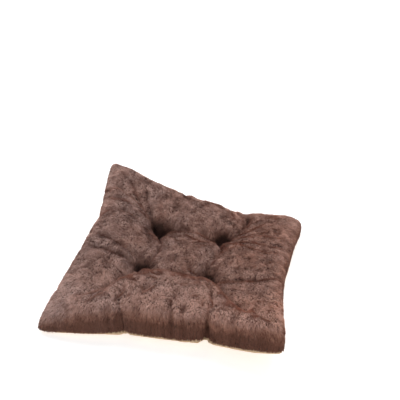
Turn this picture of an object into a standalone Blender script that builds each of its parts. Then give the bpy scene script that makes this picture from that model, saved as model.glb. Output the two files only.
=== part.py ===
"""Tufted square pet cushion: a plush top panel and a velour bottom panel sewn together all round,
stuffed with loose fibre and drawn in by four thread tufts.

The front edge faces -Y and the cushion lies on the plane z = 0. Metres, +Z up.
"""

import bmesh
import bpy
import numpy as np

# Plan of the cushion
SIDE = 0.500             # span of each side, corner to corner
SIDE_PULL_IN = 0.022     # how far a side draws in at its middle
TIP_ROUNDING = 0.030     # share of its reach that a corner's tip loses
TUFT_SPACING = 0.147     # between neighbouring tufts

# How the stuffing has pushed each corner out of true: sideways, back and up. Two opposite
# corners stand off the floor.
CORNER_SHIFTS = {
    "back_left": (0.009, 0.007, 0.079),
    "back_right": (-0.010, -0.002, -0.002),
    "front_left": (0.012, -0.012, -0.007),
    "front_right": (0.013, 0.006, 0.039),
}

# Heights
SEAM_HEIGHT = 0.016      # the seam above the floor, at the middle of a side
CROWN = 0.076            # rise of the stuffed top above the seam
CREASE_DEPTH = 0.010     # depth of the valleys that run through the tufts
EDGE_ROLL = 0.003        # height of the plush at its cut edge
UNDERSIDE_SAG = 0.034    # how far the filling would push the underside down with no floor
TUFT_TOP = 0.025         # the skins above the floor at a tuft
TUFT_BOTTOM = 0.010

# How far from its line or point a crease or a dimple fades, and how steep the shoulders are:
# 1 is a dome and near 0 a box
TUFT_SEAT = 0.006        # radius of the level place under a knot
DIMPLE_REACH = 0.034
CREASE_REACH = 0.024
SHOULDER = 0.24

# Panels
PLUSH_THICKNESS = 0.007
VELOUR_THICKNESS = 0.0025
SEAM_ALLOWANCE = 0.006   # width over which the two panels lie face to face
CLEARANCE = 0.0003       # between pieces that touch
FILL_CLEARANCE = 0.0006
FILL_EDGE_DRAW = 0.002   # how much thinner the filling is at its edge

# Threads
SEAM_THREAD = 0.0006     # radii
TUFT_THREAD = 0.0011
KNOT = 0.0032
KNOT_HEIGHT = 0.0022
STUFFING_OPENING = 0.110  # length of the back edge that is closed by hand

# Cells of the grid that every skin is laid out on, across its middle and each outer zone
MIDDLE_CELLS = 8
OUTER_CELLS = 8
SCREW_STEPS = 16

MATERIALS = {
    "brown_plush": ((0.130, 0.068, 0.052), 0.95),
    "cream_velour": ((0.720, 0.540, 0.360), 0.90),
    "white_fibre": ((0.850, 0.850, 0.830), 0.95),
    "seam_thread": ((0.620, 0.480, 0.350), 0.70),
    "tuft_thread": ((0.100, 0.055, 0.042), 0.70),
}


def clear_scene():
    for item in list(bpy.data.objects):
        bpy.data.objects.remove(item, do_unlink=True)


def new_collection(name):
    group = bpy.data.collections.new(name)
    bpy.context.scene.collection.children.link(group)
    return group


def new_material(name):
    colour, roughness = MATERIALS[name]
    material = bpy.data.materials.new(name)
    material.use_nodes = True
    shader = material.node_tree.nodes["Principled BSDF"]
    shader.inputs["Base Color"].default_value = (*colour, 1.0)
    shader.inputs["Roughness"].default_value = roughness
    shader.inputs["Metallic"].default_value = 0.0
    return material


def add_part(name, data, material):
    data.materials.append(new_material(material))
    part = bpy.data.objects.new(name, data)
    parts.objects.link(part)
    part.parent = origin
    return part


def add_cutter(name, data):
    cutter = bpy.data.objects.new(name, data)
    cutters.objects.link(cutter)
    cutter.parent = origin
    cutter.hide_render = True
    cutter.display_type = "WIRE"
    return cutter


def cut(part, cutter):
    boolean = part.modifiers.new(cutter.name, "BOOLEAN")
    boolean.operation = "DIFFERENCE"
    boolean.solver = "EXACT"
    boolean.object = cutter


# The skins -----------------------------------------------------------------------------------

def eased(count):
    """Steps from 0 to 1 that crowd together at both ends."""
    t = np.linspace(0, 1, count + 1)
    return t * t * (3 - 2 * t)


def grid_stations():
    """Grid lines from -1 to 1, closer together near the tufts and near the edge. The outermost
    cell is the seam allowance."""
    half = SIDE / 2
    tuft = TUFT_SPACING / 2 / half
    allowance = 1 - SEAM_ALLOWANCE / half
    middle = tuft * (2 * eased(MIDDLE_CELLS) - 1)
    outer = tuft + (allowance - tuft) * eased(OUTER_CELLS)[1:]
    right = np.append(outer, 1.0)
    return np.concatenate([-right[::-1], middle, right])


def corner_shift(u, v, axis):
    """A corner's shift along an axis, fading with the cube of the distance from the corner."""
    sides = {"left": (1 - u) / 2, "right": (1 + u) / 2, "front": (1 - v) / 2, "back": (1 + v) / 2}
    total = 0.0
    for corner, shift in CORNER_SHIFTS.items():
        row, column = corner.split("_")
        total = total + shift[axis] * (sides[row] * sides[column]) ** 3
    return total


def plan(u, v):
    """Place of a grid point: the sides draw in by an arc, and the corners' tips round off."""
    tip = 1 - TIP_ROUNDING * (u * v) ** 8
    x = u * (SIDE / 2 - SIDE_PULL_IN * (1 - v * v)) * tip + corner_shift(u, v, 0)
    y = v * (SIDE / 2 - SIDE_PULL_IN * (1 - u * u)) * tip + corner_shift(u, v, 1)
    return x, y


def seam_height(u, v):
    """Height of the surface that both panels' edges lie on."""
    return SEAM_HEIGHT + corner_shift(u, v, 2)


def fullness(u, v):
    """0 at the edge and 1 at the middle, with steep shoulders."""
    return ((1 - u * u) * (1 - v * v)) ** SHOULDER


def dimple(x, y):
    """1 on a tuft's level seat, fading to 0 around it."""
    offset = np.hypot(abs(x) - TUFT_SPACING / 2, abs(y) - TUFT_SPACING / 2)
    return np.exp(-(np.clip(offset - TUFT_SEAT, 0, None) / DIMPLE_REACH) ** 1.3)


def crease(x, y):
    """1 along the lines through the tufts, fading to 0 beside them."""
    beside_x = np.exp(-((abs(x) - TUFT_SPACING / 2) / CREASE_REACH) ** 2)
    beside_y = np.exp(-((abs(y) - TUFT_SPACING / 2) / CREASE_REACH) ** 2)
    return np.maximum(beside_x, beside_y)


def rings_in(shape, count):
    """Mask of the grid points that lie at least count rings in from the edge."""
    mask = np.zeros(shape, bool)
    mask[count:-count, count:-count] = True
    return mask


def skin_heights(u, v, x, y):
    """Both faces of each panel over the grid, as a dictionary of heights."""
    seam = seam_height(u, v)
    full = fullness(u, v)
    pinch = dimple(x, y)
    stuffed = rings_in(u.shape, 2)

    hang = seam - CLEARANCE / 2 - VELOUR_THICKNESS - np.where(stuffed, UNDERSIDE_SAG * full, 0)
    velour_floor = np.maximum(hang + (TUFT_BOTTOM - hang) * pinch, 0)

    swell = seam + CLEARANCE / 2 + (CROWN - CREASE_DEPTH * crease(x, y)) * full
    swell = swell + (TUFT_TOP - swell) * pinch
    cut_edge = seam + CLEARANCE / 2 + EDGE_ROLL
    plush_outside = np.where(rings_in(u.shape, 1), swell, cut_edge)
    plush_inside = np.where(stuffed, plush_outside - PLUSH_THICKNESS, seam + CLEARANCE / 2)
    return {
        "velour_floor": velour_floor,
        "velour_inside": velour_floor + VELOUR_THICKNESS,
        "plush_inside": plush_inside,
        "plush_outside": plush_outside,
    }


def slab(name, x, y, lower, upper):
    """Closed body between two skins. A flat grid is extruded once, and each of its points then
    moves to its place in the lower or the upper skin."""
    cells = len(x) - 1
    bm = bmesh.new()
    bmesh.ops.create_grid(bm, x_segments=cells, y_segments=cells, size=cells / 2)
    bmesh.ops.translate(bm, verts=bm.verts, vec=(cells / 2, cells / 2, 0))
    raised = bmesh.ops.extrude_face_region(bm, geom=bm.faces)["geom"]
    raised = {item for item in raised if isinstance(item, bmesh.types.BMVert)}
    bmesh.ops.triangulate(bm, faces=bm.faces, quad_method="FIXED")
    for vertex in bm.verts:
        column, row = round(vertex.co.x), round(vertex.co.y)
        height = upper if vertex in raised else lower
        vertex.co = (x[column, row], y[column, row], height[column, row])
    bmesh.ops.recalc_face_normals(bm, faces=bm.faces)
    mesh = bpy.data.meshes.new(name)
    bm.to_mesh(mesh)
    bm.free()
    return mesh


# The threads ---------------------------------------------------------------------------------

def seam_loop(x, y, u, v):
    """Points along the middle of the seam allowance, once round, starting at the middle of the
    back edge. Between neighbouring points the seam surface is flat across the allowance."""
    z = seam_height(u, v)
    grid = np.stack([x, y, z], axis=-1)
    outside = (grid[:, -1], grid[-1, ::-1], grid[::-1, 0], grid[0, :])
    inside = (grid[:, -2], grid[-2, ::-1], grid[::-1, 1], grid[1, :])
    sides = [(far[1:-1] + near[1:-1]) / 2 for far, near in zip(outside, inside)]
    loop = np.concatenate(sides)
    return np.roll(loop, -(len(sides[0]) // 2), axis=0)


def stretch_of(loop, start, end):
    """The part of a closed line from one distance along it to another."""
    closed = np.vstack([loop, loop[:1]])
    steps = np.linalg.norm(np.diff(closed, axis=0), axis=1)
    along = np.concatenate([[0.0], np.cumsum(steps)])
    two_turns = np.concatenate([along[:-1] - along[-1], along])
    points = np.vstack([loop, closed])
    between = two_turns[(two_turns > start) & (two_turns < end)]
    wanted = np.concatenate([[start], between, [end]])
    return np.stack([np.interp(wanted, two_turns, points[:, axis]) for axis in range(3)], axis=1)


def thread_curve(name, points, radius, closed=False):
    curve = bpy.data.curves.new(name, "CURVE")
    curve.dimensions = "3D"
    curve.bevel_depth = radius
    curve.bevel_resolution = 2
    curve.use_fill_caps = not closed
    spline = curve.splines.new("POLY")
    spline.points.add(len(points) - 1)
    spline.points.foreach_set("co", np.insert(points, 3, 1.0, axis=1).ravel())
    spline.use_cyclic_u = closed
    return curve


def tie_object(name, grown, make):
    """A tuft's tie: a shaft between two domed knots, one on each panel, as a turned profile from
    the top down. A cutter is the same profile grown by the clearance."""
    above = TUFT_TOP + CLEARANCE - grown
    below = TUFT_BOTTOM - CLEARANCE + grown
    shaft, knot, height = TUFT_THREAD + grown, KNOT + grown, KNOT_HEIGHT + 2 * grown
    dome = [(0.0, 1.0), (0.55, 0.85), (0.9, 0.5), (1.0, 0.2), (0.9, 0.0)]
    profile = [(knot * r, above + height * h) for r, h in dome]
    profile += [(shaft, above), (shaft, below)]
    profile += [(knot * r, below - height * h) for r, h in reversed(dome)]
    mesh = bpy.data.meshes.new(name)
    vertices = [(r, 0.0, z) for r, z in profile]
    edges = [(index, index + 1) for index in range(len(profile) - 1)]
    mesh.from_pydata(vertices, edges, [])
    tie = make(name, mesh)
    screw = tie.modifiers.new("turn", "SCREW")
    screw.steps = SCREW_STEPS
    screw.render_steps = SCREW_STEPS
    screw.use_merge_vertices = True
    screw.merge_threshold = 0.00001
    screw.use_normal_calculate = False
    return tie


# Assembly ------------------------------------------------------------------------------------

clear_scene()
parts = new_collection("pet_cushion")
cutters = new_collection("cutters")

stations = grid_stations()
u, v = np.meshgrid(stations, stations, indexing="ij")
x, y = plan(u, v)
skins = skin_heights(u, v, x, y)

# The pieces are laid out around the middle of the four tufts. Their parent puts the middle of
# the whole cushion's outline on the origin.
origin = bpy.data.objects.new("cushion_origin", None)
origin.location = (-(x.min() + x.max()) / 2, -(y.min() + y.max()) / 2, 0.0)
parts.objects.link(origin)

plush = add_part("plush_top_panel",
                 slab("plush_top_panel", x, y, skins["plush_inside"], skins["plush_outside"]),
                 "brown_plush")
velour = add_part("velour_bottom_panel",
                  slab("velour_bottom_panel", x, y, skins["velour_floor"], skins["velour_inside"]),
                  "cream_velour")

# The filling reaches to two rings in from the edge, and is drawn thinner there.
core = slice(2, -2)
draw = np.where(rings_in(x[core, core].shape, 1), FILL_CLEARANCE, FILL_EDGE_DRAW)
fill_mesh = slab("fibre_fill", x[core, core], y[core, core],
                 skins["velour_inside"][core, core] + draw,
                 skins["plush_inside"][core, core] - draw)
fill = add_part("fibre_fill", fill_mesh, "white_fibre")

# The lockstitch runs round the seam allowance, except over the opening that is closed by hand.
loop = seam_loop(x, y, u, v)
lap = np.linalg.norm(np.diff(np.vstack([loop, loop[:1]]), axis=0), axis=1).sum()
reach = STUFFING_OPENING / 2
add_part("closing_seam_thread",
         thread_curve("closing_seam_thread", stretch_of(loop, -reach, reach), SEAM_THREAD),
         "seam_thread")
machine_stitch = stretch_of(loop, reach + CLEARANCE, lap - reach - CLEARANCE)
add_part("edge_seam_thread",
         thread_curve("edge_seam_thread", machine_stitch, SEAM_THREAD), "seam_thread")

groove_curve = thread_curve("seam_groove", loop, SEAM_THREAD + CLEARANCE, closed=True)
groove_source = bpy.data.objects.new("seam_groove_source", groove_curve)
cutters.objects.link(groove_source)
bpy.context.view_layer.update()
depsgraph = bpy.context.evaluated_depsgraph_get()
groove_mesh = bpy.data.meshes.new_from_object(groove_source.evaluated_get(depsgraph))
bpy.data.objects.remove(groove_source, do_unlink=True)
groove = add_cutter("seam_groove", groove_mesh)
cut(plush, groove)
cut(velour, groove)

# Four ties draw the panels together through the filling.
for row, side_y in (("front", -1), ("back", 1)):
    for column, side_x in (("left", -1), ("right", 1)):
        place = (side_x * TUFT_SPACING / 2, side_y * TUFT_SPACING / 2, 0.0)
        label = f"tuft_thread_{row}_{column}"
        tie = tie_object(label, 0.0, lambda name, mesh: add_part(name, mesh, "tuft_thread"))
        tie.location = place
        hole = tie_object(f"hole_{row}_{column}", CLEARANCE, add_cutter)
        hole.location = place
        for layer in (plush, fill, velour):
            cut(layer, hole)
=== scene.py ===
"""A square pet cushion, tufted at four points: brown plush above, cream velour below.

The sections follow the making of the real cushion, from the cut panels to the brushed pile.
"""

import bpy
import numpy as np
from mathutils import Matrix, Vector


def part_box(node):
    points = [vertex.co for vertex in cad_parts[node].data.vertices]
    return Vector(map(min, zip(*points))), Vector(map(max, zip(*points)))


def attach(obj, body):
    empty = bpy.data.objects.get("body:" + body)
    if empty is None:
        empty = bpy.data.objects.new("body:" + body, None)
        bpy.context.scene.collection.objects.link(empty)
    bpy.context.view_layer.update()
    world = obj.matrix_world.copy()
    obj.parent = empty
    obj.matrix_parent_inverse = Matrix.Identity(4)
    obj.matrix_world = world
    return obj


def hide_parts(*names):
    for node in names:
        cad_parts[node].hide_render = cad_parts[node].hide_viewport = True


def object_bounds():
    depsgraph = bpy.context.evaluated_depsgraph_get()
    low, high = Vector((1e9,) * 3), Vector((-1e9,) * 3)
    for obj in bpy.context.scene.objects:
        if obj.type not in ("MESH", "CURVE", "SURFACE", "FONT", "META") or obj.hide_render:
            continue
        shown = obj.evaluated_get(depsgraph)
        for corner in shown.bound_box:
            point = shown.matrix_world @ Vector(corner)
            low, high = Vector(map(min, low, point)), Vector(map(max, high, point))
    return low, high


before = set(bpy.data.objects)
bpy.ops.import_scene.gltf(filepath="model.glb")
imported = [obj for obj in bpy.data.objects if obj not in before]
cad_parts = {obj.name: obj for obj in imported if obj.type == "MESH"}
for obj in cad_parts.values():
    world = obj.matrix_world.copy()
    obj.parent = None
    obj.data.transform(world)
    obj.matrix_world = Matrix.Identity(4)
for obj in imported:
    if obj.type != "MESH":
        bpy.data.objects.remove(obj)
cad_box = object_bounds()

# ---- The stuffed cover -------------------------------------------------------------------------
# Two square panels with rounded corners are sewn together round the edge, stuffed, and drawn
# together by four ties. Cloth simulation blows the sewn pair up to the filling's volume.

CELLS = 96                # grid cells across a panel
FLAT_HALF = 0.2570        # half the side of a panel as cut, inside its seam
CUT_ROUNDING = 0.030      # share of its reach that a panel's corner loses
TIE_AT = 0.3125           # where the ties pierce the panels, as a share of the half side
FILL_VOLUME = 0.024       # cubic metres that the filling strives for
START_GAP = 0.012         # the panels' distance at the start
START_HEIGHT = 0.016
STEPS = 52
CONTACT_GAP = 0.002       # kept between cloth and cloth, and between cloth and floor
FLOOR_FRICTION = 5.0
GRAVITY_SHARE = 0.12      # share of its full weight that the cloth has
FABRIC = {
    "quality": 6,
    "mass": 0.15,
    "air_damping": 1.0,
    "tension_stiffness": 25.0,
    "compression_stiffness": 25.0,
    "shear_stiffness": 8.0,
    "bending_stiffness": 1.2,
    "tension_damping": 10.0,
    "compression_damping": 10.0,
    "shear_damping": 10.0,
    "bending_damping": 0.8,
    "use_pressure": True,
    "uniform_pressure_force": 0.0,
    "use_pressure_volume": True,
    "target_volume": FILL_VOLUME,
    "pressure_factor": 40.0,
    "use_sewing_springs": True,
    "sewing_force_max": 60.0,
}


def smooth_noise(x, y, wave, seed, octaves=2):
    """Sum of plane waves in random directions, each about one wave long, from -1 to 1."""
    random = np.random.RandomState(seed)
    total = np.zeros(np.broadcast(x, y).shape)
    count = 7
    for octave in range(octaves):
        for _ in range(count):
            angle, phase = random.uniform(0, 2 * np.pi, 2)
            pitch = 2 * np.pi / wave * 2 ** octave * random.uniform(0.75, 1.35)
            along = x * np.cos(angle) + y * np.sin(angle)
            total = total + np.sin(pitch * along + phase) / 2 ** octave
    return total / (count * 0.75)


def cell_quads(index):
    """The four point numbers round each cell of a grid of point numbers."""
    corners = index[:-1, :-1], index[1:, :-1], index[1:, 1:], index[:-1, 1:]
    return np.stack(corners, -1).reshape(-1, 4)


def grid_mesh(name, points, closed=False, flip=False):
    """Mesh of quads through an array of points, rows by columns by 3. In a closed mesh each
    row's last point joins its first."""
    rows, columns = points.shape[:2]
    index = np.arange(rows * columns).reshape(rows, columns)
    if closed:
        index = np.hstack([index, index[:, :1]])
    quads = cell_quads(index)
    if flip:
        quads = quads[:, ::-1]
    return mesh_of(name, points.reshape(-1, 3), quads)


def mesh_of(name, points, faces):
    """Mesh from an array of points and an array of faces with equal numbers of corners."""
    faces = np.ascontiguousarray(faces, dtype=np.int32)
    mesh = bpy.data.meshes.new(name)
    mesh.vertices.add(len(points))
    mesh.vertices.foreach_set("co", points.astype(np.float32).ravel())
    mesh.loops.add(faces.size)
    mesh.loops.foreach_set("vertex_index", faces.ravel())
    mesh.polygons.add(len(faces))
    starts = np.arange(len(faces), dtype=np.int32) * faces.shape[1]
    mesh.polygons.foreach_set("loop_start", starts)
    mesh.update(calc_edges=True)
    mesh.shade_smooth()
    return mesh


def link(name, data):
    """Puts a mesh, a light or a camera in the scene as an object."""
    piece = bpy.data.objects.new(name, data)
    bpy.context.scene.collection.objects.link(piece)
    return piece


def panel_grid():
    """The panels' own coordinates, from -1 to 1, one row for each step across."""
    steps = np.linspace(-1, 1, CELLS + 1)
    return np.meshgrid(steps, steps, indexing="ij")


def stuffed_cover():
    """Simulates the sewn panels. Returns the top and the bottom skin as grids of points that
    share their outermost ring."""
    u, v = panel_grid()
    cut = 1 - CUT_ROUNDING * (u * v) ** 6
    x, y = u * FLAT_HALF * cut, v * FLAT_HALF * cut
    apart = START_GAP * np.clip((1 - np.maximum(abs(u), abs(v))) * 6, 0, 1)
    apart = apart * (1 + 0.5 * smooth_noise(x, y, 0.08, 11))
    top_index = np.arange(u.size).reshape(u.shape)
    inside = np.zeros(u.shape, bool)
    inside[1:-1, 1:-1] = True
    bottom_index = top_index.copy()
    bottom_index[inside] = u.size + np.arange(inside.sum())
    top = np.stack([x, y, START_HEIGHT + apart], -1)
    bottom = np.stack([x, y, START_HEIGHT - apart], -1)
    points = np.concatenate([top.reshape(-1, 3), bottom[inside]])
    faces = np.concatenate([cell_quads(top_index), cell_quads(bottom_index)[:, ::-1]])
    near = round((1 - TIE_AT) / 2 * CELLS)
    ties = [(a, b) for a in (near, CELLS - near) for b in (near, CELLS - near)]
    edges = [(int(top_index[tie]), int(bottom_index[tie])) for tie in ties]
    mesh = bpy.data.meshes.new("cover")
    mesh.from_pydata(points.tolist(), edges, faces.tolist())
    cover = link("cover", mesh)
    bpy.ops.mesh.primitive_plane_add(size=3)
    ground = bpy.context.object
    ground.modifiers.new("collision", "COLLISION")
    ground.collision.thickness_outer = CONTACT_GAP
    ground.collision.cloth_friction = FLOOR_FRICTION
    cloth = cover.modifiers.new("cloth", "CLOTH")
    for name, value in FABRIC.items():
        setattr(cloth.settings, name, value)
    cloth.settings.effector_weights.gravity = GRAVITY_SHARE
    cloth.collision_settings.distance_min = CONTACT_GAP
    cloth.collision_settings.collision_quality = 2
    cloth.point_cache.frame_end = STEPS + 1
    for step in range(1, STEPS + 1):
        bpy.context.scene.frame_set(step)
    shaped = cover.evaluated_get(bpy.context.evaluated_depsgraph_get()).to_mesh()
    found = np.empty(len(shaped.vertices) * 3, np.float32)
    shaped.vertices.foreach_get("co", found)
    found = found.reshape(-1, 3).astype(float)
    bpy.data.objects.remove(cover)
    bpy.data.objects.remove(ground)
    bpy.context.scene.frame_set(1)
    return found[top_index], found[bottom_index]


upper, lower = stuffed_cover()


def refine(grid):
    """Twice as many cells: between each two points a new one, nine times their mean less the
    mean of the next two out, over eight, which keeps the curve of the cloth."""
    for _ in range(2):
        first = 2 * grid[:1] - grid[1:2]
        last = 2 * grid[-1:] - grid[-2:-1]
        wide = np.concatenate([first, grid, last])
        between = (9 * (wide[1:-2] + wide[2:-1]) - wide[:-3] - wide[3:]) / 16
        finer = np.empty((2 * len(grid) - 1,) + grid.shape[1:])
        finer[::2], finer[1::2] = grid, between
        grid = finer.swapaxes(0, 1)
    return grid


upper, lower = refine(upper), refine(lower)
CELLS = 2 * CELLS

# ---- How the cushion lies ----------------------------------------------------------------------
# The stuffed cover rests on the floor with its seam pressed low. Two opposite corners have
# been knocked up off the floor, and the ties have drifted from the middles of the quarters.

LOW, HIGH = cad_box
SEAM_SUNK = 0.020         # the seam above the floor, at the middle of a side
LOBE_TOP = 0.089          # the tops of the lobes above the floor, under the pile
PULL_IN = {(0, -1): 0.025, (0, 1): 0.019, (1, -1): 0.015, (1, 1): 0.014}
SHOULDER_LIFT = 0.030     # how far the filling squares up the wall above the seam
SHOULDER_AT = 0.019       # where it does most, as cloth in from the seam
WALL_BULGE = 0.007        # how far the wall stands out over the seam
LESS_SQUARE_BACK = 0.80   # share of the shoulders' lift that the back wall goes without
LESS_SQUARE_LEFT = 0.75   # and the wall at the front left corner
SQUASHED = 0.36           # how far the back right of the cushion has been pressed flat
SQUASHED_AT = (0.45, 0.95)      # the middle of that place, and its reach both ways
SQUASHED_REACH = (0.55, 0.40)
SKINS_APART = 0.003       # the least that the top skin stays above the bottom one
FOLD_GAIN = 0.35          # how much deeper the folds lie than the simulation leaves them
FOLD_ROUNDS = 360         # of evening out, which leaves the shape without its folds
CORNER_PLUMP = 0.008      # the filling pushed into each corner
PLUMP_AT = 0.87           # where it lies, and its reach, as shares of the half side
PLUMP_REACH = 0.20
PLUMP_LEFT_SHARE = 0.3    # share of it that the front left corner has
CORNER_ROUND = 0.030      # share of its reach that a corner loses as it is turned out
CORNERS = {               # panel corner: its place
    (-1, 1): (LOW[0] + 0.001, HIGH[1], 0.097),
    (1, 1): (HIGH[0] - 0.020, HIGH[1] - 0.022, 0.014),
    (-1, -1): (LOW[0] + 0.005, LOW[1] - 0.005, 0.007),
    (1, -1): (HIGH[0] + 0.005, LOW[1] + 0.010, 0.053),
}
TIE_NODES = {             # panel quarter: the thread that draws it in
    (-1, 1): "tuft_thread_back_left",
    (1, 1): "tuft_thread_back_right",
    (-1, -1): "tuft_thread_front_left",
    (1, -1): "tuft_thread_front_right",
}
KNOT_PROUD = 0.002        # how far a knot stands out of the skin that it draws in
TIE_SPREAD = 0.20         # how far a tie draws the skin, as a share of the half side
PIT_SPREAD = 0.135        # the narrow pit round the thread itself
PIT_DEPTH = 0.028         # below the skin around it
FOLD_WIDTH = 0.019        # of a fold that runs out from a tie, as a share of the half side
FOLDS = (                 # where a fold starts and ends, how far it bends, how deep it is
    ((-0.35, 0.36), (-1.02, 0.64), 0.05, 0.013),
    ((-0.37, 0.32), (-1.02, 0.50), 0.04, 0.012),
    ((-0.50, 0.24), (-1.00, 0.32), 0.03, 0.008),
    ((-0.34, -0.30), (-1.02, -0.20), 0.05, 0.011),
    ((-0.38, -0.24), (-1.00, -0.02), 0.05, 0.008),
    ((-0.33, 0.34), (-0.62, 0.78), 0.02, 0.008),
    ((0.34, 0.31), (0.98, 0.24), 0.06, 0.011),
    ((0.38, 0.25), (0.97, 0.10), 0.06, 0.009),
    ((0.36, 0.36), (0.90, 0.42), 0.05, 0.005),
    ((0.34, -0.29), (0.98, -0.22), 0.06, 0.010),
    ((0.31, 0.34), (0.37, 0.97), 0.02, 0.006),
    ((0.06, -0.62), (0.11, -1.12), 0.02, 0.012),
    ((0.14, -0.80), (0.17, -1.15), 0.00, 0.007),
    ((0.40, -0.74), (0.45, -1.12), 0.02, 0.008),
    ((0.62, -0.80), (0.66, -1.12), 0.00, 0.006),
    ((-0.42, -0.78), (-0.45, -1.12), 0.02, 0.007),
)


def unit(vectors):
    """Vectors scaled to a length of one; a vector of no length stays as it is."""
    return vectors / np.maximum(np.linalg.norm(vectors, axis=-1, keepdims=True), 1e-9)


def evened(heights, rounds):
    """Each height becomes the mean of its four neighbours', again and again."""
    for _ in range(rounds):
        wide = np.pad(heights, 1, mode="edge")
        heights = (wide[:-2, 1:-1] + wide[2:, 1:-1] + wide[1:-1, :-2] + wide[1:-1, 2:]) / 4
    return heights


def settle(upper, lower):
    """Moves the simulated skins to where the cushion lies. Each step adds a smooth field of
    moves that is whole at one corner, side or tie and fades out around it."""
    u, v = panel_grid()
    middle, last = CELLS // 2, CELLS
    upper, lower = upper.copy(), lower.copy()
    inset = (1 - np.maximum(abs(u), abs(v))) * FLAT_HALF / SHOULDER_AT
    squaring = 1 - LESS_SQUARE_BACK * np.clip(v * 1.5, 0, 1)
    squaring *= 1 - LESS_SQUARE_LEFT * np.exp(-((u + 1) / 0.3) ** 2 - ((v + 1) / 0.5) ** 2)
    turned = 1 - CORNER_ROUND * (u * v) ** 10
    for skin in (upper, lower):
        skin[..., :2] *= turned[..., None]
    for side_u, side_v in CORNERS:
        apart = np.hypot(u - side_u * PLUMP_AT, v - side_v * PLUMP_AT)
        plump = CORNER_PLUMP * (PLUMP_LEFT_SHARE if (side_u, side_v) == (-1, -1) else 1)
        upper[..., 2] += plump * np.exp(-(apart / PLUMP_REACH) ** 2) * np.clip(inset, 0, 1)
    upper[..., 2] += SHOULDER_LIFT * squaring * inset * np.exp(1 - inset)
    folds = (upper[..., 2] - evened(upper[..., 2], FOLD_ROUNDS)) * np.clip(inset - 0.5, 0, 1)
    upper[..., 2] += FOLD_GAIN * folds
    bulge = WALL_BULGE * inset * np.exp(1 - inset ** 2 * 0.5 - 0.5)
    for skin, share in ((upper, 1.0), (lower, 0.9)):
        skin[..., 0] += share * bulge * u * abs(u) ** 8
        skin[..., 1] += share * bulge * v * abs(v) ** 8
    rim = np.concatenate([upper[0], upper[-1], upper[:, 0], upper[:, -1]])
    heights = [0.0, rim[:, 2].mean(), np.percentile(upper[..., 2], 97), 0.2]
    wanted = [0.0, SEAM_SUNK, LOBE_TOP, LOBE_TOP + 0.1]
    for skin in (upper, lower):
        skin[..., 2] -= lower[..., 2].min()
        skin[..., 2] = np.interp(skin[..., 2], heights, wanted)
    facing = unit(np.cross(np.gradient(upper, axis=0), np.gradient(upper, axis=1)))
    sunk = np.zeros(u.shape)
    for start, end, bend, depth in FOLDS:
        way = np.subtract(end, start)
        reach = np.hypot(*way)
        share = ((u - start[0]) * way[0] + (v - start[1]) * way[1]) / reach ** 2
        aside = ((u - start[0]) * way[1] - (v - start[1]) * way[0]) / reach
        aside = aside - bend * np.sin(np.pi * np.clip(share, 0, 1))
        ends = np.clip(share * 6, 0, 1) * np.clip((1 - share) * 3, 0, 1)
        sunk += depth * ends * np.exp(-(aside / FOLD_WIDTH) ** 2)
    upper -= facing * (sunk * np.clip(inset * 2, 0, 1))[..., None]
    pressed_u = (u - SQUASHED_AT[0]) / SQUASHED_REACH[0]
    pressed_v = (v - SQUASHED_AT[1]) / SQUASHED_REACH[1]
    pressed = SQUASHED * np.exp(-pressed_u ** 2 - pressed_v ** 2)
    upper[..., 2] -= pressed * np.maximum(upper[..., 2] - SEAM_SUNK, 0)

    for (side_u, side_v), place in CORNERS.items():
        at = (last * (side_u > 0), last * (side_v > 0))
        fade = (((1 + side_u * u) * (1 + side_v * v) / 4) ** 3)[..., None]
        move = np.array(place) - upper[at]
        upper, lower = upper + move * fade, lower + move * fade

    for axis in (0, 1):
        for side in (-1, 1):
            near = last * (side > 0)
            at = (near, middle) if axis == 0 else (middle, near)
            ends = upper[near, [0, last]] if axis == 0 else upper[[0, last], near]
            across, along = (u, v) if axis == 0 else (v, u)
            fade = ((1 + side * across) / 2) ** 5 * (1 - along ** 2) ** 1.5
            place = ends.mean(0)
            place[axis] -= side * PULL_IN[axis, side]
            move = place - upper[at]
            move[2] = 0
            upper = upper + move * fade[..., None]
            lower = lower + move * fade[..., None]

    near = round((1 - TIE_AT) / 2 * CELLS)
    for (side_u, side_v), node in TIE_NODES.items():
        low, high = (np.array(corner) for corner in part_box(node))
        x, y = ((low + high) / 2)[:2]
        at = (near if side_u < 0 else last - near, near if side_v < 0 else last - near)
        apart = np.hypot(u - u[at], v - v[at])
        pit = np.exp(-(apart / PIT_SPREAD) ** 2) * PIT_DEPTH
        ends = (upper, high[2] - KNOT_PROUD, 1), (lower, low[2] + KNOT_PROUD, 0)
        for skin, height, sunk in ends:
            height += sunk * PIT_DEPTH
            move = np.array([x, y, height]) - skin[at]
            skin += move * np.exp(-(apart / TIE_SPREAD) ** 2)[..., None]
            skin[..., 2] -= sunk * pit
    lower[..., 2] = np.maximum(lower[..., 2], 0.0)
    gap = SKINS_APART * np.clip(inset * 4, 0, 1)
    upper[..., 2] = np.maximum(upper[..., 2], lower[..., 2] + gap)
    return upper, lower


upper, lower = settle(upper, lower)

# ---- The filling -------------------------------------------------------------------------------
# Loose white polyester fibre, pushed into the sewn cover by hand. It fills the cover up to the
# ties and thins out towards the seam.

FILL_SHRINK = 0.820       # its share of the cover's width
FILL_GAP = 0.006          # between the filling and the skins
FIBRE_WHITE = (0.85, 0.85, 0.83)


def new_finish(name, roughness, sheen, sheen_tint, sheen_roughness):
    """A cloth material with its plain sockets set. Returns the material, its nodes' tree and
    its shader, and the colour and bump are then wired in by the section that uses it."""
    finish = bpy.data.materials.new(name)
    finish.use_nodes = True
    tree = finish.node_tree
    shader = tree.nodes["Principled BSDF"]
    shader.inputs["Roughness"].default_value = roughness
    shader.inputs["Sheen Weight"].default_value = sheen
    shader.inputs["Sheen Tint"].default_value = (*sheen_tint, 1)
    shader.inputs["Sheen Roughness"].default_value = sheen_roughness
    shader.inputs["Specular IOR Level"].default_value = 0.25
    return finish, tree, shader


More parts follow.
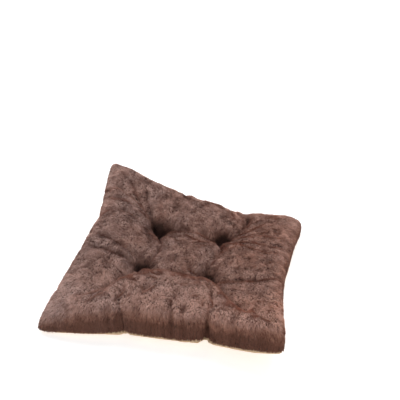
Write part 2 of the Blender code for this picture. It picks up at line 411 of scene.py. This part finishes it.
def place_node(tree, kind, **inputs):
    """A node with the plain values of its named inputs set; _ stands for a space."""
    added = tree.nodes.new(kind)
    for name, value in inputs.items():
        added.inputs[name.replace("_", " ")].default_value = value
    return added


def mottle_group():
    """Node group: object coordinates to a mask of soft patches with finer flecks on it."""
    group = bpy.data.node_groups.new("soft_mottle", "ShaderNodeTree")
    face = group.interface
    face.new_socket("Patch Scale", in_out="INPUT", socket_type="NodeSocketFloat")
    face.new_socket("Fleck Scale", in_out="INPUT", socket_type="NodeSocketFloat")
    face.new_socket("Patches", in_out="OUTPUT", socket_type="NodeSocketFloat")
    face.new_socket("Flecks", in_out="OUTPUT", socket_type="NodeSocketFloat")
    inlet = group.nodes.new("NodeGroupInput")
    outlet = group.nodes.new("NodeGroupOutput")
    place = group.nodes.new("ShaderNodeTexCoord")
    patches = place_node(group, "ShaderNodeTexNoise", Detail=4.0, Distortion=0.4)
    flecks = place_node(group, "ShaderNodeTexNoise", Detail=6.0, Roughness=0.65)
    wiring = (patches, "Patch Scale", "Patches"), (flecks, "Fleck Scale", "Flecks")
    for noise, scale, mask in wiring:
        group.links.new(place.outputs["Object"], noise.inputs["Vector"])
        group.links.new(inlet.outputs[scale], noise.inputs["Scale"])
        group.links.new(noise.outputs["Fac"], outlet.inputs[mask])
    return group


soft_mottle = mottle_group()


def mottled(tree, shader, patch_scale, fleck_scale, colours, bump, depth):
    """Wires soft patches between two colours, and flecks as bump, into a cloth material."""
    mottle = tree.nodes.new("ShaderNodeGroup")
    mottle.node_tree = soft_mottle
    mottle.inputs["Patch Scale"].default_value = patch_scale
    mottle.inputs["Fleck Scale"].default_value = fleck_scale
    ramp = tree.nodes.new("ShaderNodeValToRGB")
    for stop, place, colour in zip(ramp.color_ramp.elements, (0.3, 0.7), colours):
        stop.position = place
        stop.color = (*colour, 1)
    raised = place_node(tree, "ShaderNodeBump", Strength=bump, Distance=depth)
    tree.links.new(mottle.outputs["Patches"], ramp.inputs["Fac"])
    tree.links.new(ramp.outputs["Color"], shader.inputs["Base Color"])
    tree.links.new(mottle.outputs["Flecks"], raised.inputs["Height"])
    tree.links.new(raised.outputs["Normal"], shader.inputs["Normal"])


def sample(grid, a, b):
    """A grid's values at fractional places, mixed from the four corners of each cell."""
    i = np.clip(a.astype(int), 0, grid.shape[0] - 2)
    j = np.clip(b.astype(int), 0, grid.shape[1] - 2)
    s, t = (a - i)[..., None], (b - j)[..., None]
    near_side = grid[i, j] * (1 - s) + grid[i + 1, j] * s
    far_side = grid[i, j + 1] * (1 - s) + grid[i + 1, j + 1] * s
    return near_side * (1 - t) + far_side * t


a, b = ((axis * FILL_SHRINK + 1) * CELLS / 2 for axis in panel_grid())
a, b = a[::2, ::2], b[::2, ::2]
above, below = sample(upper, a, b), sample(lower, a, b)
halves = (above - below) / 2
thick = np.linalg.norm(halves, axis=-1, keepdims=True)
halves = halves * np.clip(1 - FILL_GAP / np.maximum(thick, 1e-6), 0.05, 1)
middles = (above + below) / 2
filling_skin = np.concatenate([middles + halves, (middles - halves)[:, ::-1]], 1)
stuffing = link("fibre_stuffing", grid_mesh("fibre_stuffing", filling_skin, closed=True))
finish, tree, shader = new_finish("white_fibre", 0.9, 0.3, FIBRE_WHITE, 0.6)
mottled(tree, shader, 30, 500, ((0.78, 0.78, 0.76), FIBRE_WHITE), 0.6, 0.002)
stuffing.data.materials.append(finish)
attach(stuffing, "root")
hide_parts("fibre_fill")

# ---- The velour underside ----------------------------------------------------------------------
# The lower panel is cream velour with a very short, dense pile. It lies flat on the floor
# and is drawn up in a dimple at each tie.

CLOTH_THICKNESS = 0.0012
CREAM_DEEP = (0.50, 0.335, 0.205)
CREAM_LIGHT = (0.66, 0.475, 0.305)


def panel(name, skin, flip):
    """A cloth panel: the skin's grid, given its thickness inwards."""
    cloth = link(name, grid_mesh(name, skin, flip=flip))
    thickness = cloth.modifiers.new("thickness", "SOLIDIFY")
    thickness.thickness = CLOTH_THICKNESS
    thickness.offset = -1
    return cloth


velour = panel("velour_skin", lower, True)
finish, tree, shader = new_finish("cream_velour", 0.85, 0.35, (0.95, 0.86, 0.72), 0.45)
mottled(tree, shader, 26, 320, (CREAM_DEEP, CREAM_LIGHT), 0.55, 0.0016)
velour.data.materials.append(finish)
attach(velour, "root")
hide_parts("velour_bottom_panel")

# ---- The plush backing -------------------------------------------------------------------------
# The upper panel is brown plush. Its knitted backing shows only between the fibres, deep in
# the folds and round the ties, and its colour is painted far darker than the pile, as painted
# shade deep in the pile.

plush = panel("plush_skin", upper, False)
finish, tree, shader = new_finish("brown_backing_painted_shade", 0.95, 0.1, (0.30, 0.20, 0.17), 0.5)
# Painted shade: the backing's two browns are far darker than the pile, for the shade deep between
# the fibres.
mottled(tree, shader, 60, 700, ((0.060, 0.031, 0.023), (0.105, 0.056, 0.042)), 0.8, 0.001)
plush.data.materials.append(finish)
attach(plush, "root")
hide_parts("plush_top_panel")

# ---- The plush pile ----------------------------------------------------------------------------
# The pile is soft polyester fibre about a centimetre long, one stretch of it on each of the
# cushion's nine lobes. It lies brushed, gathers in small locks, and thins out round a tie. Its
# tone carries painted shade in the pits, in hollows and creases and on the steep side walls.

PILE_DENSITY = 1.27e6     # fibres to the square metre
PILE_LENGTH = 0.0080
PILE_WIDTH = 0.00074
PILE_SUNK = 0.0006        # roots below the backing's face
BRUSHED = (0.12, -0.50)   # the way the pile was last stroked
LOCK_SIZES = ((0.0050, 0.34, 21), (0.0130, 0.08, 22))   # size, share gathered, seed
TIE_CLEAR = 0.034         # reach of the shorter pile, and of the painted pit shade, round a tie
TONE_BANDS = 10           # of warmth, from the coolest brown to the warmest
SWIRL = 0.55              # how far the brushing wanders, in waves this long
SWIRL_WAVE = 0.060
FANNED = 0.8              # how far the pile turns outwards at the edge
STRAY = 0.16              # each fibre's own part in the way it lies
SEAM_SHORTER = 0.45       # share of its length that the pile loses at the seam
PILE_PAINTED_PIT_SHADE = (0.045, 0.020, 0.015)      # painted shade in a pit, and then a fibre's tones, dark to pale
PILE_DARK = (0.190, 0.098, 0.074)
PILE_BROWN = (0.350, 0.196, 0.156)
PILE_PALE = (0.62, 0.40, 0.335)
COOL_CAST = (0.96, 1.02, 1.08)
WARM_CAST = (1.10, 0.90, 0.77)
ROOT_SHADE = 0.72         # brightness of a fibre's root beside its tip


def locks(x, y, size, seed):
    """The cloth is split in squares, each with a centre at a random place in it, and a fibre
    belongs to the nearest centre. Returns the way to it, and two numbers of its lock's own."""
    random = np.random.RandomState(seed)
    many = int(2.2 * FLAT_HALF / size) + 3
    centres = random.uniform(0.05, 0.95, (many, many, 2))
    own = random.uniform(-1, 1, (many, many, 2))
    place = np.stack([x, y], -1) / size + many / 2
    cell = np.floor(place).astype(int)
    best = np.full(x.shape, np.inf)
    way, kept = np.zeros(place.shape), np.zeros(place.shape)
    for over in (-1, 0, 1):
        for up in (-1, 0, 1):
            square = np.clip(cell + (over, up), 0, many - 1)
            i, j = square[:, 0], square[:, 1]
            to_centre = square + centres[i, j] - place
            far = (to_centre ** 2).sum(-1)
            nearer = far < best
            best = np.where(nearer, far, best)
            way = np.where(nearer[:, None], to_centre, way)
            kept = np.where(nearer[:, None], own[i, j], kept)
    return way * size, kept


def fibres(a, b, seed):
    """Each fibre is a narrow strip of five points: a root, a middle and a tip. The middle and
    the tip stand off the root along the cloth's normal and the way the pile is brushed; the
    tip is drawn towards the centre of its lock. Returns points, triangles and the map."""
    random = np.random.RandomState(seed)
    count = len(a)
    step = 2 * FLAT_HALF / CELLS
    x, y = a * step - FLAT_HALF, b * step - FLAT_HALF
    u, v = x / FLAT_HALF, y / FLAT_HALF
    roots = sample(upper, a, b)
    normal = unit(sample(cloth_normal, a, b))
    across = unit(sample(cloth_across, a, b))
    along = unit(sample(cloth_along, a, b))

    edge = np.maximum(abs(u), abs(v))
    stroke = np.stack([u, v], -1) * (edge ** 3)[:, None] * FANNED + BRUSHED
    stroke[:, 0] += SWIRL * smooth_noise(x, y, SWIRL_WAVE, 31)
    stroke[:, 1] += SWIRL * smooth_noise(x, y, SWIRL_WAVE, 32)
    gather = np.zeros((count, 2))
    tone = np.zeros(count)
    longer = np.ones(count)
    for size, share, lock_seed in LOCK_SIZES:
        way, own = locks(x, y, size, lock_seed)
        gather += way * share
        stroke += own * 0.13
        tone += own[:, 0] * 0.08
        longer += own[:, 1] * 0.10
    stroke += random.normal(0, STRAY, (count, 2))
    lying = unit(across * stroke[:, :1] + along * stroke[:, 1:])

    # pit is painted shade: round each tie, centred a little behind it, the fibres' tone falls
    # towards the darkest stop
    clear, pit = np.ones(count), np.ones(count)
    for at_u in (-TIE_AT, TIE_AT):
        for at_v in (-TIE_AT, TIE_AT):
            far = np.hypot(u - at_u, v - at_v - 0.02) * FLAT_HALF / TIE_CLEAR
            clear = np.minimum(clear, 0.30 + 0.70 * np.clip(far, 0, 1) ** 1.5)
            far = np.hypot(u - at_u, v - at_v - 0.05) * FLAT_HALF / TIE_CLEAR
            pit = np.minimum(pit, np.clip(far * 1.5 - 0.60, 0.05, 1))
    at_seam = np.clip((edge - 0.93) / 0.07, 0, 1)
    length = PILE_LENGTH * longer * clear * random.uniform(0.78, 1.18, count)
    length *= 1 - SEAM_SHORTER * at_seam
    rise = 0.60 + 0.12 * smooth_noise(x, y, 0.03, 33) + 0.15 * at_seam
    rise = np.clip(rise + random.normal(0, 0.09, count), 0.25, 0.95)
    gathered = across * gather[:, :1] + along * gather[:, 1:]
    length, rise = length[:, None], rise[:, None]
    lean = np.sqrt(1 - rise ** 2)
    roots = roots - normal * PILE_SUNK
    mids = roots + length * 0.5 * unit(normal * (rise + 0.35) + lying * lean)
    mids = mids + gathered * 0.4
    tips = roots + length * (normal * rise + lying * lean) + gathered
    tips[:, 2] -= length[:, 0] * 0.10

    course = unit(tips - roots)
    wide = unit(np.cross(course, normal) + 0.35 * random.normal(0, 1, (count, 3)))
    wide = unit(wide - course * (wide * course).sum(-1, keepdims=True))
    half = PILE_WIDTH / 2 * random.uniform(0.8, 1.2, (count, 1))
    strip = np.stack([roots - wide * half * 0.7, roots + wide * half * 0.7,
                      mids - wide * half, mids + wide * half, tips], 1)
    strip[..., 2] = np.maximum(strip[..., 2], 0.0004)
    corners = np.array([[0, 1, 3], [0, 3, 2], [2, 3, 4]])
    facing = np.cross(wide, course)
    inward = (facing * normal).sum(-1) < 0
    order = np.where(inward[:, None, None], corners[:, ::-1], corners)
    faces = order + (np.arange(count) * 5)[:, None, None]

    tone += 0.50 + 0.17 * smooth_noise(x, y, 0.040, 34, 3) + random.normal(0, 0.16, count)
    # Painted shade: fibres on the steep side walls near the edge are painted darker, for the shade
    # that falls on them; the same mask also makes them warmer.
    wall_painted_shade_and_warmth = np.clip(0.75 - normal[:, 2], 0, 0.5) / 0.5 * np.clip(edge * 8 - 6.6, 0, 1)
    tone += 0.14 * np.exp(-((u + 0.75) / 0.35) ** 2 - ((v - 0.65) / 0.35) ** 2)
    tone += 0.34 * np.exp(-((v + 0.72) / 0.24) ** 2) - 0.42 * wall_painted_shade_and_warmth
    # Painted shade in the hollows and creases, and a little painted light on the ridges.
    tone -= 0.40 * sample(painted_hollow_shade, a, b)[:, 0]
    # Painted shade in the pits round the ties.
    tone = np.clip(tone, 0.16, 0.99) * pit + 0.01
    warm = 0.42 + 0.24 * u + 0.40 * wall_painted_shade_and_warmth + 0.16 * smooth_noise(x, y, 0.11, 35)
    warm += random.normal(0, 0.1, count)
    band = np.floor(np.clip(warm, 0, 0.999) * TONE_BANDS)
    spread = np.array([-1, 1, -1, 1, 0]) * 0.005
    height = np.array([0.05, 0.05, 0.5, 0.5, 0.95])
    chart = np.stack([tone[:, None] + spread, (band[:, None] + height) / TONE_BANDS], -1)
    return strip.reshape(-1, 3), faces.reshape(-1, 3), chart.reshape(-1, 2)


def pile_material():
    """The map's first number is a fibre's tone; the second holds its warmth in ten bands, and
    within a band the height up the fibre, which is dark at the root and palest at the tip."""
    finish, tree, shader = new_finish("brown_pile", 0.72, 0.25, (0.62, 0.46, 0.40), 0.4)
    chart = tree.nodes.new("ShaderNodeUVMap")
    chart.uv_map = "OFBake"
    split = tree.nodes.new("ShaderNodeSeparateXYZ")
    tree.links.new(chart.outputs["UV"], split.inputs["Vector"])
    tone = tree.nodes.new("ShaderNodeValToRGB")
    stops = tone.color_ramp.elements
    stops[0].position, stops[0].color = 0.02, (*PILE_PAINTED_PIT_SHADE, 1)
    stops.new(0.16).color = (*PILE_DARK, 1)
    stops[2].position, stops[2].color = 0.92, (*PILE_PALE, 1)
    stops.new(0.50).color = (*PILE_BROWN, 1)
    tree.links.new(split.outputs["X"], tone.inputs["Fac"])
    times = place_node(tree, "ShaderNodeMath")
    times.operation = "MULTIPLY"
    times.inputs[1].default_value = TONE_BANDS
    tree.links.new(split.outputs["Y"], times.inputs[0])
    height = tree.nodes.new("ShaderNodeMath")
    height.operation = "FRACT"
    tree.links.new(times.outputs["Value"], height.inputs[0])
    warmth = tree.nodes.new("ShaderNodeMath")
    warmth.operation = "FLOOR"
    tree.links.new(times.outputs["Value"], warmth.inputs[0])
    cast = tree.nodes.new("ShaderNodeMapRange")
    cast.data_type = "FLOAT_VECTOR"
    spread = (0, 0, 0), (TONE_BANDS - 1,) * 3, COOL_CAST, WARM_CAST
    for socket, value in zip(("From Min", "From Max", "To Min", "To Max"), spread):
        [s for s in cast.inputs if s.name == socket and s.type == "VECTOR"][0].default_value = value
    vector = [s for s in cast.inputs if s.name == "Vector"][0]
    tree.links.new(warmth.outputs["Value"], vector)
    shade = tree.nodes.new("ShaderNodeMapRange")
    shade.inputs["From Min"].default_value = 0.0
    shade.inputs["From Max"].default_value = 0.75
    shade.inputs["To Min"].default_value = ROOT_SHADE
    shade.inputs["To Max"].default_value = 1.0
    tree.links.new(height.outputs["Value"], shade.inputs["Value"])
    tinted = tree.nodes.new("ShaderNodeVectorMath")
    tinted.operation = "MULTIPLY"
    tree.links.new(tone.outputs["Color"], tinted.inputs[0])
    tree.links.new(cast.outputs["Vector"], tinted.inputs[1])
    shaded = tree.nodes.new("ShaderNodeVectorMath")
    shaded.operation = "SCALE"
    tree.links.new(tinted.outputs["Vector"], shaded.inputs[0])
    tree.links.new(shade.outputs["Result"], shaded.inputs["Scale"])
    tree.links.new(shaded.outputs["Vector"], shader.inputs["Base Color"])
    return finish


cloth_across = np.gradient(upper, axis=0)
cloth_along = np.gradient(upper, axis=1)
cloth_normal = unit(np.cross(cloth_across, cloth_along))
# Painted shade: how far the cloth lies below its evened surroundings; fibres in hollows and creases
# are painted darker, and those on ridges a little lighter.
painted_hollow_shade = (evened(upper[..., 2], 50) - upper[..., 2]) / 0.004
painted_hollow_shade = np.clip(painted_hollow_shade, -0.35, 1.0)[..., None]
cross_one = upper[1:, 1:] - upper[:-1, :-1]
cross_two = upper[1:, :-1] - upper[:-1, 1:]
cell_areas = np.linalg.norm(np.cross(cross_one, cross_two), axis=-1) / 2

brown_pile = pile_material()
tie_row = round((1 - TIE_AT) / 2 * CELLS)
thirds = (0, tie_row), (tie_row, CELLS - tie_row), (CELLS - tie_row, CELLS)
LOBES = ("front_left", "left", "back_left", "front", "middle", "back", "front_right", "right",
         "back_right")
for number, lobe in enumerate(LOBES):
    columns, rows = thirds[number // 3], thirds[number % 3]
    random = np.random.RandomState(100 + number)
    shares = np.cumsum(cell_areas[slice(*columns), slice(*rows)])
    count = int(shares[-1] * PILE_DENSITY)
    cells = np.searchsorted(shares, random.uniform(0, shares[-1], count))
    wide = rows[1] - rows[0]
    a = columns[0] + cells // wide + random.uniform(size=count)
    b = rows[0] + cells % wide + random.uniform(size=count)
    points, faces, chart = fibres(a, b, 200 + number)
    mesh = mesh_of("plush_pile_" + lobe, points, faces)
    fitted = mesh.uv_layers.new(name="OFBake")
    fitted.data.foreach_set("uv", chart[faces.ravel()].astype(np.float32).ravel())
    mesh.materials.append(brown_pile)
    pile = link(mesh.name, mesh)
    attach(pile, "root")
    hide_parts("plush_top_panel")

# ---- The edge seam -----------------------------------------------------------------------------
# The two panels are sewn together with a lockstitch in spun polyester. The cover is turned
# right side out, so the stitches lie sunk in the seam, under the fringe of the pile.

STITCH_LENGTH = 0.0034
STITCH_GAP = 0.0005
SEAM_THREAD = 0.00028     # radius
THREAD_BEIGE = (0.62, 0.48, 0.35)
BEIGE_SHADE = (0.45, 0.33, 0.23)


def short_threads(name, starts, ends, swell, radius, sides=6):
    """Many short threads in one mesh. A thread's middle line goes from its start to its end
    with a swell that is a half sine, and its radius tapers at both ends."""
    t = np.array([0.0, 0.2, 0.5, 0.8, 1.0])
    line = starts[:, None] + (ends - starts)[:, None] * t[None, :, None]
    line = line + swell[:, None] * np.sin(np.pi * t)[None, :, None]
    course = unit(np.gradient(line, axis=1))
    aside = unit(np.cross(course, [0.05, 0.1, 1.0]))
    over = np.cross(course, aside)
    turn = np.arange(sides) / sides * 2 * np.pi
    ring = aside[:, :, None] * np.cos(turn)[:, None] + over[:, :, None] * np.sin(turn)[:, None]
    girth = radius * np.array([0.4, 0.9, 1.0, 0.9, 0.4])[None, :, None, None]
    points = line[:, :, None] + ring * girth
    index = np.arange(len(t) * sides).reshape(len(t), sides)
    index = np.hstack([index, index[:, :1]])
    quads = np.stack([index[:-1, :-1], index[:-1, 1:], index[1:, 1:], index[1:, :-1]], -1)
    last = (len(t) - 1) * sides
    caps = np.array([[3, 2, 1, 0], [5, 4, 3, 0]])
    caps = np.concatenate([caps, caps[:, ::-1] + last])
    one = np.concatenate([quads.reshape(-1, 4), caps])
    faces = one[None] + (np.arange(len(starts)) * len(t) * sides)[:, None, None]
    return mesh_of(name, points.reshape(-1, 3), faces.reshape(-1, 4))


def thread_material(name, colour, dark):
    """Spun thread: fine flecks as bump, and soft patches between two shades."""
    finish, tree, shader = new_finish(name, 0.6, 0.2, colour, 0.4)
    mottled(tree, shader, 300, 2500, (dark, colour), 0.5, 0.0003)
    return finish


rim = np.concatenate([upper[:-1, 0], upper[-1, :-1], upper[:0:-1, -1], upper[0, :0:-1]])
rim = np.concatenate([rim, rim[:1]])
run = np.concatenate([[0], np.cumsum(np.linalg.norm(np.diff(rim, axis=0), axis=1))])
stitches = int(run[-1] / STITCH_LENGTH)
begin = np.arange(stitches) * run[-1] / stitches
stop = begin + STITCH_LENGTH - STITCH_GAP
ends_of = [np.stack([np.interp(s, run, rim[:, k]) for k in range(3)], -1)
           for s in (begin, stop)]
outward = unit((ends_of[0] - rim.mean(0)) * [1, 1, 0])
starts, ends = (end + outward * 0.0002 for end in ends_of)
edge = link("edge_stitches", short_threads(
    "edge_stitches", starts, ends, outward * 0.0003, SEAM_THREAD))
edge.data.materials.append(thread_material("seam_thread", THREAD_BEIGE, BEIGE_SHADE))
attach(edge, "root")
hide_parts("edge_seam_thread")

# ---- The closing seam --------------------------------------------------------------------------
# The cover was stuffed through an opening in the back edge, which is closed by hand with
# slanting overcast stitches that wrap round the seam.

CLOSING_LENGTH = 0.110
CLOSING_PITCH = 0.0046
CLOSING_INSET = 0.90      # grid cells from the seam to where a stitch enters the cloth
CLOSING_SLANT = 0.9       # grid cells that it moves on under the seam
CLOSING_SWELL = 0.0034    # how far it stands out round the seam

steps_per_metre = CELLS / (2 * FLAT_HALF)
along_seam = np.arange(-CLOSING_LENGTH / 2, CLOSING_LENGTH / 2, CLOSING_PITCH)
at_a = CELLS / 2 + along_seam * steps_per_metre
at_b = np.full(at_a.shape, CELLS - CLOSING_INSET)
starts = sample(upper, at_a, at_b)
ends = sample(lower, at_a + CLOSING_SLANT, at_b)
swell = np.tile([0.0, CLOSING_SWELL, 0.0], (len(starts), 1))
closing = link("closing_stitches", short_threads(
    "closing_stitches", starts, ends, swell, SEAM_THREAD * 1.2))
closing.data.materials.append(bpy.data.materials["seam_thread"])
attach(closing, "root")
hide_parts("closing_seam_thread")

# ---- The four ties -----------------------------------------------------------------------------
# Thick brown thread goes right through the cushion at four points, three turns twisted
# together, pulled tight, and knotted above and below with its two tails cut short.

STRAND = 0.00055          # radius of one turn of thread
TWIST_PITCH = 0.006
KNOT_SIZE = 0.0011        # scale of the knot's loops
TAIL = 0.007
THREAD_BROWN = (0.10, 0.055, 0.042)
BROWN_SHADE = (0.055, 0.03, 0.023)


def tube(line, radius, reference, closed=False, sides=8):
    """Points and quads of a tube round a line of points: at each point, a circle in the plane
    across the line. An open tube's end rings are drawn in to close it."""
    course = np.gradient(line, axis=0)
    if closed:
        course = np.roll(line, -1, 0) - np.roll(line, 1, 0)
    course = unit(course)
    aside = unit(np.cross(course, reference))
    over = np.cross(course, aside)
    turn = np.arange(sides) / sides * 2 * np.pi
    ring = aside[:, None] * np.cos(turn)[:, None] + over[:, None] * np.sin(turn)[:, None]
    girth = np.full(len(line), radius)
    if not closed:
        girth[[0, -1]] *= 0.45
    points = (line[:, None] + ring * girth[:, None, None]).reshape(-1, 3)
    index = np.arange(len(line) * sides).reshape(len(line), sides)
    index = np.hstack([index, index[:, :1]])
    if closed:
        index = np.vstack([index, index[:1]])
    quads = np.stack([index[:-1, :-1], index[:-1, 1:], index[1:, 1:], index[1:, :-1]], -1)
    quads = quads.reshape(-1, 4)
    if not closed:
        near = np.array([[3, 2, 1, 0], [5, 4, 3, 0], [7, 6, 5, 0]])
        quads = np.concatenate([quads, near, near[:, ::-1] + (len(line) - 1) * sides])
    return points, quads


def tie_thread(low, high):
    """Three strands wound round a line from one knot to the other; each knot is a trefoil
    loop, and each tail a short curve that droops off it."""
    x, y = ((low + high) / 2)[:2]
    foot, head = low[2] + KNOT_PROUD, high[2] - KNOT_PROUD
    parts = []
    t = np.linspace(0, 1, 25)
    for strand in range(3):
        turn = 2 * np.pi * (t * (head - foot) / TWIST_PITCH + strand / 3)
        line = np.stack([x + STRAND * 1.15 * np.cos(turn), y + STRAND * 1.15 * np.sin(turn),
                         foot + t * (head - foot)], -1)
        parts.append(tube(line, STRAND, [1.0, 0.2, 0.0]))
    t = np.arange(40) / 40 * 2 * np.pi
    loops = np.stack([np.sin(t) + 2 * np.sin(2 * t), np.cos(t) - 2 * np.cos(2 * t),
                      -np.sin(3 * t)], -1)
    for height, side in ((head, 1), (foot, -1)):
        centre = np.array([x, y, height + side * 0.0006])
        parts.append(tube(centre + loops * KNOT_SIZE * [0.8, 0.8, 0.6], STRAND,
                          [0.02, 0.01, 1.0], closed=True))
        for angle in (0.6, 3.4):
            t_tail = np.linspace(0, 1, 8)[:, None]
            way = np.array([np.cos(angle), np.sin(angle), 0.0])
            lift = side * (0.9 * t_tail - 0.6 * t_tail ** 2) * TAIL * [0, 0, 1]
            parts.append(tube(centre + way * TAIL * t_tail * 0.8 + lift, STRAND * 0.8,
                              [0.1, 0.2, 1.0]))
    offsets = np.cumsum([0] + [len(points) for points, quads in parts[:-1]])
    points = np.concatenate([points for points, quads in parts])
    quads = np.concatenate([quads + offset for (p, quads), offset in zip(parts, offsets)])
    return points, quads


tie_finish = thread_material("tuft_thread", THREAD_BROWN, BROWN_SHADE)
for node in TIE_NODES.values():
    low, high = (np.array(corner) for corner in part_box(node))
    name = node.replace("thread", "tie")
    tie = link(name, mesh_of(name, *tie_thread(low, high)))
    tie.data.materials.append(tie_finish)
    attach(tie, "root")
    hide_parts(node)

# ---- The studio --------------------------------------------------------------------------------
# A plain white floor under one broad soft light from behind on the left, in a bright even
# surround. The camera looks down on the cushion from the front, a little to the right.

SUN_WAY = (0.35, -0.90, -1.0)
SUN_STRENGTH = 2.75
SUN_BREADTH = 1.1
SURROUND = 0.58           # its strength as light, and as the camera sees it
BACKDROP = 0.96
FLOOR_GLOW = 0.58         # the floor is lit through from below, which thins the shadows
EYE = (0.3247, -1.4485, 1.170)
YAW, PITCH, ROLL = np.radians((-11.6, 33.12, 2.38))
LENS = 75.85              # in millimetres, on film of this width
FILM_WIDTH = 36

FLOOR = -0.0003           # just clear of the cloth that lies on it
floor = link("floor", grid_mesh("floor", np.array(
    [[[-30.0, -30.0, FLOOR], [-30.0, 30.0, FLOOR]],
     [[30.0, -30.0, FLOOR], [30.0, 30.0, FLOOR]]])))
finish, tree, shader = new_finish("white_floor", 0.9, 0.0, (1, 1, 1), 0.5)
mottled(tree, shader, 1.5, 40, ((0.865, 0.865, 0.865), (0.875, 0.875, 0.875)), 0.02, 0.001)
shader.inputs["Emission Color"].default_value = (1, 1, 1, 1)
shader.inputs["Emission Strength"].default_value = FLOOR_GLOW
floor.data.materials.append(finish)

sun = bpy.data.lights.new("soft_sun", "SUN")
sun.energy = SUN_STRENGTH
sun.angle = SUN_BREADTH
sun_object = link("soft_sun", sun)
sun_object.rotation_euler = Vector(SUN_WAY).to_track_quat("-Z", "Y").to_euler()

world = bpy.data.worlds.new("surround")
world.use_nodes = True
bpy.context.scene.world = world
sky = world.node_tree.nodes["Background"]
sky.inputs["Color"].default_value = (1, 1, 1, 1)
seen = world.node_tree.nodes.new("ShaderNodeLightPath")
strength = world.node_tree.nodes.new("ShaderNodeMapRange")
strength.inputs["To Min"].default_value = SURROUND
strength.inputs["To Max"].default_value = BACKDROP
world.node_tree.links.new(seen.outputs["Is Camera Ray"], strength.inputs["Value"])
world.node_tree.links.new(strength.outputs["Result"], sky.inputs["Strength"])

lens = bpy.data.cameras.new("camera")
lens.lens = LENS
lens.sensor_width = FILM_WIDTH
camera = link("camera", lens)
forward = Vector((np.sin(YAW) * np.cos(PITCH), np.cos(YAW) * np.cos(PITCH), -np.sin(PITCH)))
right = Vector((np.cos(YAW), -np.sin(YAW), 0))
up = right.cross(forward)
turned_right = np.cos(ROLL) * right + np.sin(ROLL) * up
turned_up = -np.sin(ROLL) * right + np.cos(ROLL) * up
camera.matrix_world = Matrix((turned_right, turned_up, -forward)).transposed().to_4x4()
camera.location = EYE
bpy.context.scene.camera = camera
bpy.context.scene.view_settings.view_transform = "Standard"
